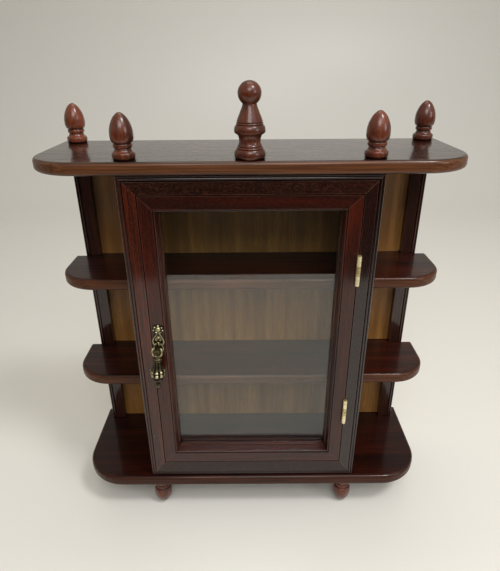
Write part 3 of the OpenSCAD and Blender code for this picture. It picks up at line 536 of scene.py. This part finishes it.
class TurnFinials(bpy.types.Operator):
    """Make the five finials and four feet, each turned about Z with the tenon that holds it"""
    bl_idname = "display_case.turn_finials"
    bl_label = "Turn Finials"

    def outline(self, name, height, depth, grip):
        """Radius and height of a turning's outline above the board's face, in mm, with its tenon last.

        A smooth curve passes through the profile's points. The centre finial starts with a ball: a
        circle from its top round to the neck. A foot is the acorn cut flat at the height of its
        tip. The tenon is a straight cylinder of radius grip with its end bevelled by 0.5 mm.
        """
        if name == "centre_finial":
            turn = np.radians(np.linspace(89, -51, 24))
            ball = np.stack((BALL * np.cos(turn), height - BALL + BALL * np.sin(turn)), 1)
            outline = np.concatenate((ball, smooth_path(CENTRE, 230)))
        else:
            outline = smooth_path(ACORN, 220)
        if name.endswith("foot"):
            outline = outline[outline[:, 1] <= height]
            outline[:, 1] *= height / outline[0, 1]
        return np.concatenate((outline, [(grip, 0), (grip, 0.5 - depth), (grip - 0.5, -depth)]))

    def execute(self, context):
        """Each is one closed surface: its outline turned about Z, and upside down for a foot."""
        wood = context.scene.case_wood
        turned = {"haze": 0.2, "lines": 0.4, "ripple": 0.08}
        # Both finishes carry painted shade where the turnings meet the boards and in their grooves
        acorn_finish = lacquered_wood(
            "turned_mahogany", "Z", wood.turned_dark, wood.turned_light, wood.turned_rub, wood,
            coat=0.7, mottle=0.35, **turned)
        centre_finish = lacquered_wood(
            "turned_mahogany_dark", "Z", wood.turned_dark, wood.centre_light, wood.turned_rub, wood,
            coat=0.6, mottle=0.3, **turned)
        columns = 80
        spin = around(columns)
        for name in TURNINGS:
            low, high = (np.array(corner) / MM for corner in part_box(name))
            down = name.endswith("foot")
            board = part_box("bottom_board" if down else "top_board")
            face = board[0 if down else 1].z / MM
            above, below = high[2] - face, face - low[2]
            height, depth = (below, above) if down else (above, below)
            outline = self.outline(name, height, depth, wood.tenon_radius / MM)
            r, z = outline[:, :1], outline[:, 1:]
            z = face - z if down else face + z
            rings = np.stack((r * np.cos(spin) + (low[0] + high[0]) / 2,
                              r * np.sin(spin) + (low[1] + high[1]) / 2,
                              np.repeat(z, columns, 1)), -1)
            finish = centre_finish if name == "centre_finial" else acorn_finish
            piece = cast_object(f"turned_{name}", [(rings, np.zeros(rings.shape[:2]))], (0, 0, 0), 0,
                                finish)
            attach(piece, "cabinet")
            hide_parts(name)
        return {"FINISHED"}


class StainBackPanel(bpy.types.Operator):
    """Finish the plywood back panel and the raw dowels"""
    bl_idname = "display_case.stain_back_panel"
    bl_label = "Stain Back Panel"

    def execute(self, context):
        finish_nodes(["back_panel"], plywood("back_plywood", context.scene.case_wood))
        finish_nodes(["top_dowels", "shelf_dowels"], raw_beech("raw_dowel"))
        return {"FINISHED"}


# ---------- glass and metal ----------

def float_glass(name):
    """Clear float glass, 2 mm: faint green body, mirror-smooth with faint smudges, lets lamps through."""
    material, tree = new_material(name)
    place = add(tree, "ShaderNodeTexCoord").outputs["Object"]
    smudge = add(tree, "ShaderNodeTexNoise", {"Vector": place, "Scale": 22, "Detail": 3})
    haze = add(tree, "ShaderNodeMapRange", {
        "Value": smudge.outputs[0], "From Min": 0.55, "From Max": 0.8, "To Max": 0.01})
    glass = add(tree, "ShaderNodeBsdfPrincipled", {
        "Base Color": linear("#f3f8f5"), "Roughness": haze.outputs[0], "IOR": 1.52,
        "Transmission Weight": 1.0})
    through = add(tree, "ShaderNodeBsdfTransparent", {"Color": linear("#f0f4f2")})
    path = add(tree, "ShaderNodeLightPath")
    both = add(tree, "ShaderNodeMixShader", {
        0: path.outputs["Is Shadow Ray"], 1: glass.outputs[0], 2: through.outputs[0]})
    add(tree, "ShaderNodeOutputMaterial", {"Surface": both.outputs[0]})
    return material


def worn_metal(name, dark, bright, rough, cell):
    """Solid metal handled for years: cloudy tarnish, brighter arrises and fine scratches.

    cell is the size of one cloud of tarnish in metres.
    """
    material, tree = new_material(name)
    place = add(tree, "ShaderNodeTexCoord").outputs["Object"]
    cloud = add(tree, "ShaderNodeTexNoise", {"Vector": place, "Scale": 1 / cell, "Detail": 4})
    scratch = add(tree, "ShaderNodeTexNoise", {"Vector": place, "Scale": 5 / cell, "Detail": 2})
    tarnish = add(tree, "ShaderNodeMapRange", {
        "Value": cloud.outputs[0], "From Min": 0.35, "From Max": 0.7})
    metal = add(tree, "ShaderNodeMix", {0: tarnish.outputs[0], 6: bright, 7: dark}, data_type="RGBA")
    rubbed = add(tree, "ShaderNodeMix", {
        0: arris_mask(tree, 0.0003, 0.8), 6: metal.outputs[2], 7: bright}, data_type="RGBA")
    gloss = add(tree, "ShaderNodeMapRange", {
        "Value": cloud.outputs[0], "From Min": 0.3, "From Max": 0.7, "To Min": rough[0],
        "To Max": rough[1]})
    relief = add(tree, "ShaderNodeBump", {
        "Height": scratch.outputs[0], "Strength": 0.2, "Distance": 0.00003})
    shader = add(tree, "ShaderNodeBsdfPrincipled", {
        "Base Color": rubbed.outputs[2], "Roughness": gloss.outputs[0], "Metallic": 1.0,
        "Normal": relief.outputs[0]})
    add(tree, "ShaderNodeOutputMaterial", {"Surface": shader.outputs[0]})
    return material


class GlazeDoor(bpy.types.Operator):
    """Finish the glass pane"""
    bl_idname = "display_case.glaze_door"
    bl_label = "Glaze Door"

    def execute(self, context):
        finish_nodes(["glass_pane"], float_glass("clear_glass"))
        return {"FINISHED"}


class FinishMetal(bpy.types.Operator):
    """Finish the hinges, screws, pins, hangers, strike plate and magnet"""
    bl_idname = "display_case.finish_metal"
    bl_label = "Finish Metal Fittings"

    def execute(self, context):
        for name, dark, bright, rough, cell, nodes in (
                ("rolled_brass", "#dcc995", "#fff3d2", (0.4, 0.55), 0.0016, [
                    "upper_hinge_frame_leaf", "lower_hinge_frame_leaf", "hinge_frame_screws",
                    "hinge_door_screws", "wall_hangers", "hanger_screws", "catch_screws"]),
                ("dull_rolled_brass", "#9c8552", "#ead9a8", (0.4, 0.6), 0.0016, [
                    "upper_hinge_door_leaf", "lower_hinge_door_leaf", "upper_hinge_pin",
                    "lower_hinge_pin"]),
                ("zinc_steel", "#85878a", "#c3c6c9", (0.3, 0.45), 0.002, [
                    "base_screws", "panel_pins", "strike_plate"]),
                ("nickel_magnet", "#8f8d88", "#c9c6bf", (0.15, 0.3), 0.004, ["catch_magnet"]),
                # Handle post, pin and nut: dark patina, darkened further as painted shade where they sit in
                # the pull
                ("aged_brass", "#171309", "#5b5138", (0.4, 0.6), 0.0015, [
                    "handle_post", "handle_pin", "handle_nut"])):
            finish_nodes(nodes, worn_metal(name, linear(dark), linear(bright), rough, cell))
        return {"FINISHED"}


# ---------- handle ----------

def bar(path, radii, columns=18):
    """Round bar along a path in the plane of the door.

    At each point of the path a circle of that point's radius stands across the path. Relief is 1 on
    the side away from the door, where hands rub it, and 0 on the side toward it.
    """
    along = np.gradient(path, axis=0)
    along /= np.linalg.norm(along, axis=1)[:, None]
    side = np.cross(along, (0, 1, 0))
    side /= np.linalg.norm(side, axis=1)[:, None]
    front = np.cross(side, along)
    turn = around(columns)[None, :, None]
    ring = side[:, None] * np.cos(turn) + front[:, None] * np.sin(turn)
    return path[:, None] + np.asarray(radii)[:, None, None] * ring, np.clip(0.45 - ring[..., 1], 0, 1)


def curl(points, thick, count=40):
    """Bar through (x, y, z) points, thick in the middle and tapered to 0.35 of it at both ends."""
    taper = 0.35 + 0.65 * np.sin(math.pi * np.linspace(0, 1, count)) ** 0.5
    return bar(smooth_path(points, count), thick * taper)


def turn_about_y(radius, y, columns):
    """Rings of a profile of radius and y turned about Y, and y repeated around them."""
    radius, y, spin = np.reshape(radius, (-1, 1)), np.reshape(y, (-1, 1)), around(columns)
    depth = np.repeat(y, columns, 1)
    return np.stack((radius * np.cos(spin), depth, radius * np.sin(spin)), -1), depth


def dome(place, radius, height):
    """Bead on the plate: a quarter ellipse turned about Y, closed by a flat back."""
    turn = np.linspace(0.02, math.pi / 2, 12)
    rings, depth = turn_about_y(np.append(radius * np.sin(turn), radius * 0.9),
                                np.append(-height * np.cos(turn), 0.25), 28)
    return rings + place, np.clip(-depth / height * 1.3, 0, 1)


def patinated_brass(name, handle):
    """Cast brass, blackened and rubbed back: black hollows, brown flanks, bright crests, fine grain."""
    material, tree = new_material(name)
    relief = add(tree, "ShaderNodeAttribute", attribute_name="relief").outputs["Fac"]
    place = add(tree, "ShaderNodeTexCoord").outputs["Object"]
    cloud = add(tree, "ShaderNodeTexNoise", {"Vector": place, "Scale": 700, "Detail": 3})
    grain = add(tree, "ShaderNodeTexNoise", {"Vector": place, "Scale": 3000, "Detail": 2})
    uneven = add(tree, "ShaderNodeMapRange", {
        "Value": cloud.outputs[0], "To Min": -0.3, "To Max": 0.3})
    height = add(tree, "ShaderNodeMath", {0: relief, 1: uneven.outputs[0]}, operation="ADD",
                 use_clamp=True)
    low = add(tree, "ShaderNodeMapRange", {
        "Value": height.outputs[0], "From Min": 0.1, "From Max": 0.5})
    high = add(tree, "ShaderNodeMapRange", {
        "Value": height.outputs[0], "From Min": 0.5, "From Max": 0.85})
    flank = add(tree, "ShaderNodeMix", {0: low.outputs[0], 6: handle.recess, 7: handle.middle},
                data_type="RGBA")
    metal = add(tree, "ShaderNodeMix", {0: high.outputs[0], 6: flank.outputs[2], 7: handle.crest},
                data_type="RGBA")
    rough = add(tree, "ShaderNodeMapRange", {
        "Value": height.outputs[0], "To Min": 0.6, "To Max": 0.28})
    bump = add(tree, "ShaderNodeBump", {
        "Height": grain.outputs[0], "Strength": 0.3, "Distance": 0.00005})
    shader = add(tree, "ShaderNodeBsdfPrincipled", {
        "Base Color": metal.outputs[2], "Roughness": rough.outputs[0], "Metallic": 1.0,
        "Normal": bump.outputs[0]})
    add(tree, "ShaderNodeOutputMaterial", {"Surface": shader.outputs[0]})
    return material


# The plate in mm: its outline as half width and height from the pivot, the height of the rosette's
# middle, and its ribs, each a thickness and points (x, y, z) with y from the door's face
PLATE_OUTLINE = [(0.3, -5.2), (2.4, -4.3), (3.3, -2.2), (3.1, 0.2), (3.3, 2.6), (4.3, 4.4), (4.5, 6.4),
                 (4.1, 8.6), (3.0, 11.3), (1.9, 13.4), (1.5, 14.6), (2.0, 16.2), (2.9, 18.4),
                 (2.4, 20.4), (1.3, 21.6), (0.3, 22.6)]
PLATE_THICK = 0.9
ROSETTE = 18.3
RIBS = [
    (0.6, [(0.4, -1.0, 15.0), (1.8, -1.1, 12.8), (3.5, -1.1, 10.0), (4.5, -1.1, 7.2), (4.2, -1.1, 4.6),
           (2.9, -1.2, 3.0), (1.9, -1.2, 3.8), (2.5, -1.2, 4.8)]),
    (0.4, [(0.2, -1.0, 12.2), (1.3, -1.1, 10.6), (2.3, -1.1, 8.6), (1.8, -1.1, 7.2), (1.1, -1.1, 7.9),
           (1.5, -1.1, 8.8)]),
    (0.6, [(3.3, -0.9, 2.0), (4.0, -0.9, 0.2), (3.4, -0.9, -2.4), (1.6, -0.9, -4.4),
           (0.3, -0.9, -5.0)])]
SCROLL = [(-0.8, -0.9, 5.6), (0.3, -1.3, 5.0), (0.3, -1.4, 3.6), (1.0, -1.4, 2.8)]
# A tack's outline from the plate: shares of the head's radius with y in mm, then the shank in mm
TACK_HEAD = [(0.5, -1.25), (0.85, -0.7), (1.0, 0.0), (0.8, 0.25)]
TACK_SHANK = [(0.7, 0.35), (0.65, 2.0), (0.6, 5.0), (0.1, 7.0)]
# The pull's outline in mm: radius, then height from the pin
PULL_OUTLINE = [
    (0.3, -3.7), (1.7, -3.8), (2.4, -4.1), (2.9, -4.6), (3.6, -5.0), (3.8, -5.6), (3.6, -6.1),
    (3.2, -6.4), (3.2, -6.7), (3.7, -7.1), (3.8, -7.5), (3.5, -7.9), (3.1, -8.2), (3.0, -8.8),
    (3.05, -10.4), (3.3, -12.2), (3.8, -14.0), (4.4, -15.4), (4.7, -16.1), (4.6, -16.5), (4.9, -16.9),
    (5.3, -17.7), (5.2, -18.9), (4.9, -19.5), (5.2, -20.1), (5.4, -21.4), (5.1, -22.8), (4.6, -24.0),
    (4.1, -25.2), (3.7, -25.9), (4.1, -26.5), (4.25, -27.0), (3.9, -27.6), (3.0, -28.4), (2.1, -29.3),
    (1.5, -30.2), (1.3, -30.8), (1.75, -31.8), (2.0, -33.2), (1.85, -34.8), (1.4, -36.3), (0.8, -37.6),
    (0.12, -38.4)]
HORN = [(0.4, -4.0), (2.0, -3.6), (3.4, -2.2), (3.85, 0), (3.75, 1.9), (3.5, 3.3), (3.25, 4.3)]


class CastHandle(bpy.types.Operator):
    """Make the handle's ornate back plate, its two tacks and its pull, cast in brass"""
    bl_idname = "display_case.cast_handle"
    bl_label = "Cast Handle"

    def back_plate(self, handle, back):
        """Shells of the back plate, in mm from the pivot; the door's face is at y = back.

        Body: at each height a D-shaped ring, as wide as the outline there. Two ribs on each side
        spread from the rosette into an arch and curl in above the post, and a third rounds the foot.
        Rosette: rings around its middle whose radius is drawn in between petals, domed along each.
        """
        columns = 48
        outline, spin = smooth_path(PLATE_OUTLINE, 120), around(columns)
        width, height = outline[:, :1], outline[:, 1:]
        x = width * np.cos(spin)
        y = back - PLATE_THICK * np.clip(np.sin(spin), 0, 1) ** 0.5
        body = np.stack((x, np.repeat(y[None], len(x), 0), np.repeat(height, columns, 1)), -1)
        shells = [(body, 0.25 + 0.25 * (np.abs(x) / width) ** 6)]
        for side in (-1, 1):
            shells += [curl(np.array(points) * (side, 1, 1) + (0, back, 0), thick, 60)
                       for thick, points in RIBS]
        shells.append(curl(np.array(SCROLL) + (0, back, 0), 0.6))
        # The bead above the rosette, then the rosette
        shells.append(dome((0, back - 0.5, ROSETTE + 3.5), 1.1, 1.5))
        share = np.concatenate((np.linspace(0.02, 1, 30), [0.97]))[:, None]
        spin = around(120)
        petal = np.abs(np.cos(handle.petals / 2 * (spin - math.pi / 2))) ** 0.7
        reach = 2.6 * (1 + petal)
        lift = 0.35 + 1.1 * petal * np.exp(-((share - 0.78) / 0.2) ** 2)
        lift[-1] = -0.3
        rosette = np.stack((share * reach * np.cos(spin), back - 0.5 - lift,
                            ROSETTE + 0.8 * share * reach * np.sin(spin)), -1)
        shells.append((rosette, np.clip((lift - 0.5) * 1.1, 0, 1)))
        return shells

    def tacks(self, back):
        """Two domed tacks turned about Y: a bead on the plate and a tapered shank into the door."""
        shells = []
        for z, head in ((ROSETTE, 2.2), (10.0, 1.0)):
            profile = [(0.05, -1.5)] + [(head * share, y) for share, y in TACK_HEAD] + TACK_SHANK
            radius, y = smooth_path(profile, 50).T
            rings, depth = turn_about_y(radius, y, 32)
            shells.append((rings + (0, back - PLATE_THICK, z), np.clip(0.3 - depth, 0, 1)))
        return shells

    def pull(self, handle):
        """Shells of the pull, in mm from the pin's middle.

        Body: a profile turned about Z. Its radius grows with the size of cos(lobes / 2 * angle) at
        two heights, which makes two tiers of lobes, and ripples around the neck, which makes flutes.
        Relief is how far the radius stands out from its own average over the points around.
        Two horns rise from the collar and curl around the ends of the pin.
        """
        columns = 112
        outline, spin = smooth_path(PULL_OUTLINE, 300), around(columns)
        radius, z = outline[:, :1], outline[:, 1:]
        # Two tiers of lobes and the flutes of the neck, each faded in and out by height
        lobe = np.abs(np.cos(handle.lobes / 2 * (spin - math.pi / 2))) ** 0.75
        tier = np.exp(-((z + 17.7) / 1.35) ** 4) + np.exp(-((z + 21.4) / 1.5) ** 4)
        flute = np.exp(-((z + 12.3) / 3.7) ** 6)
        r = radius + tier * (1.6 * lobe - 0.55) + 0.32 * flute * (1.6 * lobe - 1)
        # The average around each point: 6 to each side, then 9 up and down
        near = sum(np.roll(r, k, axis=1) for k in range(-6, 7)) / 13
        padded = np.concatenate((near[:1].repeat(9, 0), near, near[-1:].repeat(9, 0)))
        near = sum(padded[k:k + len(r)] for k in range(19)) / 19
        relief = np.clip(0.36 + (r - near) / 0.8, 0, 1)
        body = np.stack((r * np.cos(spin), r * np.sin(spin), np.repeat(z, columns, 1)), -1)
        shells = [(body, relief)]
        count = 54
        step = np.linspace(0, 1, count)
        for side in (-1, 1):
            path = smooth_path([(side * x, 0, height) for x, height in HORN], count)
            thick = 0.8 + 0.4 * np.exp(-(path[:, 2] / 1.5) ** 2)
            shells.append(bar(path, thick * np.clip((1.02 - step) / 0.1, 0.25, 1) ** 0.5, 24))
        return shells

    def execute(self, context):
        handle = context.scene.case_handle
        brass = patinated_brass("patinated_brass", handle)
        pivot = JOINTS["handle_swing"]["pos_m"]
        back = (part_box("handle_plate")[1].y - pivot[1]) / MM
        for name, shells, body, node in (
                ("handle_backplate", self.back_plate(handle, back), "door", "handle_plate"),
                ("handle_tack_heads", self.tacks(back), "door", "handle_tacks"),
                ("handle_pull", self.pull(handle), "handle_drop", "handle_drop")):
            piece = cast_object(name, shells, pivot, handle.lean, brass)
            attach(piece, body)
            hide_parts(node)
        return {"FINISHED"}


# ---------- studio ----------

def pale_laminate(name, tint):
    """Plain pale laminate floor, satin, with a fine pebbled press."""
    material, tree = new_material(name)
    place = add(tree, "ShaderNodeTexCoord").outputs["Object"]
    pebble = add(tree, "ShaderNodeTexNoise", {"Vector": place, "Scale": 900, "Detail": 2})
    rough = add(tree, "ShaderNodeMapRange", {"Value": pebble.outputs[0], "To Min": 0.35, "To Max": 0.5})
    shader = add(tree, "ShaderNodeBsdfPrincipled", {"Base Color": tint, "Roughness": rough.outputs[0]})
    add(tree, "ShaderNodeOutputMaterial", {"Surface": shader.outputs[0]})
    return material


def studio_world(stage):
    """Soft light by direction alone: pale behind the case, grey above, dark below and in front."""
    world = bpy.data.worlds.new("studio")
    world.use_nodes = True
    tree = world.node_tree
    tree.nodes.clear()
    direction = add(tree, "ShaderNodeTexCoord").outputs["Generated"]
    axes = add(tree, "ShaderNodeSeparateXYZ", {0: direction})
    behind = add(tree, "ShaderNodeMapRange", {
        "Value": axes.outputs["Y"], "From Min": -0.15, "From Max": 0.15},
        interpolation_type="SMOOTHSTEP")
    above = add(tree, "ShaderNodeMapRange", {
        "Value": axes.outputs["Z"], "From Min": -0.03, "From Max": 0.25},
        interpolation_type="SMOOTHSTEP")
    front = add(tree, "ShaderNodeMix", {0: above.outputs[0], 6: stage.room, 7: stage.ceiling},
                data_type="RGBA")
    sky = add(tree, "ShaderNodeMix", {0: behind.outputs[0], 6: front.outputs[2], 7: stage.wall},
              data_type="RGBA")
    light = add(tree, "ShaderNodeBackground", {"Color": sky.outputs[2], "Strength": 1.0})
    add(tree, "ShaderNodeOutputWorld", {"Surface": light.outputs[0]})
    return world


def soft_light(name, place, size, watts, target=None):
    """A square area light at a place, turned to a target or to the case's middle."""
    data = bpy.data.lights.new(name, "AREA")
    data.size = size
    data.energy = watts
    lamp = bpy.data.objects.new(name, data)
    lamp.location = place
    aim = Vector(target or (0, 0, CAD_BOX[1][2] / 2)) - Vector(place)
    lamp.rotation_mode = "QUATERNION"
    lamp.rotation_quaternion = aim.to_track_quat("-Z", "Y")
    bpy.context.scene.collection.objects.link(lamp)


def place_camera(stage):
    """The camera in front of the case and above it, turned in yaw, then tilt, then roll."""
    data = bpy.data.cameras.new("camera")
    data.lens = stage.lens
    data.sensor_width = 36
    data.clip_start = 0.01
    camera = bpy.data.objects.new("camera", data)
    bpy.context.scene.collection.objects.link(camera)
    camera.location = (0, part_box("left_post")[1].y - stage.camera_distance,
                       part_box("bottom_board")[1].z + stage.camera_height)
    camera.rotation_mode = "QUATERNION"
    camera.rotation_quaternion = (
        Quaternion((0, 0, 1), stage.camera_yaw)
        @ Quaternion((1, 0, 0), math.pi / 2 - stage.camera_tilt)
        @ Quaternion((0, 0, 1), stage.camera_roll))
    bpy.context.scene.camera = camera


def lay_floor(stage):
    """The floor runs back, turns up through a quarter circle and ends as a backdrop."""
    half_width, bend_start, bend_radius, height = 3.0, 1.0, 0.6, 2.4
    turn = np.linspace(0, math.pi / 2, 24)
    profile = np.concatenate((
        [[-stage.floor_front, 0]],
        np.stack((bend_start + bend_radius * np.sin(turn), bend_radius * (1 - np.cos(turn))), 1),
        [[bend_start + bend_radius, height]]))
    rows = len(profile)
    ends = [np.column_stack((np.full(rows, x), profile)) for x in (-half_width, half_width)]
    low = np.arange(rows - 1)
    faces = np.stack((low, low + rows, low + rows + 1, low + 1), 1)
    mesh = bpy.data.meshes.new("floor")
    mesh.from_pydata(np.concatenate(ends).tolist(), [], faces.tolist())
    mesh.shade_smooth()
    mesh.materials.append(pale_laminate("pale_floor", stage.floor))
    floor = bpy.data.objects.new("floor", mesh)
    bpy.context.scene.collection.objects.link(floor)


class BuildStage(bpy.types.Operator):
    """Make the pale floor, the soft lights, the world and the camera"""
    bl_idname = "display_case.build_stage"
    bl_label = "Build Stage"

    def execute(self, context):
        stage = context.scene.case_stage
        place_camera(stage)
        lay_floor(stage)
        context.scene.world = studio_world(stage)
        soft_light("key", (0.75, -0.6, 1.7), 0.35, 14)
        soft_light("overhead", (0.35, -0.6, 1.35), 1.1, 4)
        soft_light("floor_wash", (0.0, -0.85, 0.95), 0.5, 5, (0, -0.55, 0))
        soft_light("wall_wash", (0.0, 0.35, 1.9), 0.8, 8, (0, 1.6, 0.9))
        soft_light("window", (1.1, -0.75, 0.7), 0.45, 3)
        context.scene.view_settings.view_transform = "Standard"
        return {"FINISHED"}


# ---------- add-on ----------

OPERATORS = [BuildStage, LacquerCase, LacquerShelves, LacquerDoor, TurnFinials, StainBackPanel,
             GlazeDoor, FinishMetal, CastHandle]


class CasePanel(bpy.types.Panel):
    """Lists the case's operators and settings"""
    bl_idname = "VIEW3D_PT_display_case"
    bl_label = "Display Case"
    bl_space_type = "VIEW_3D"
    bl_region_type = "UI"
    bl_category = "Display Case"

    def draw(self, context):
        column = self.layout.column()
        for operator in OPERATORS:
            column.operator(operator.bl_idname)
        scene = context.scene
        for settings in (scene.case_wood, scene.case_handle, scene.case_stage):
            for name in settings.__annotations__:
                column.prop(settings, name)


CLASSES = [WoodSettings, HandleSettings, StageSettings, *OPERATORS, CasePanel]


def register():
    for cls in CLASSES:
        bpy.utils.register_class(cls)
    bpy.types.Scene.case_wood = bpy.props.PointerProperty(type=WoodSettings)
    bpy.types.Scene.case_handle = bpy.props.PointerProperty(type=HandleSettings)
    bpy.types.Scene.case_stage = bpy.props.PointerProperty(type=StageSettings)


def unregister():
    del bpy.types.Scene.case_stage
    del bpy.types.Scene.case_handle
    del bpy.types.Scene.case_wood
    for cls in reversed(CLASSES):
        bpy.utils.unregister_class(cls)


def main():
    register()
    for operator in OPERATORS:
        group, name = operator.bl_idname.split(".")
        getattr(getattr(bpy.ops, group), name)()


if __name__ == "__main__":
    main()
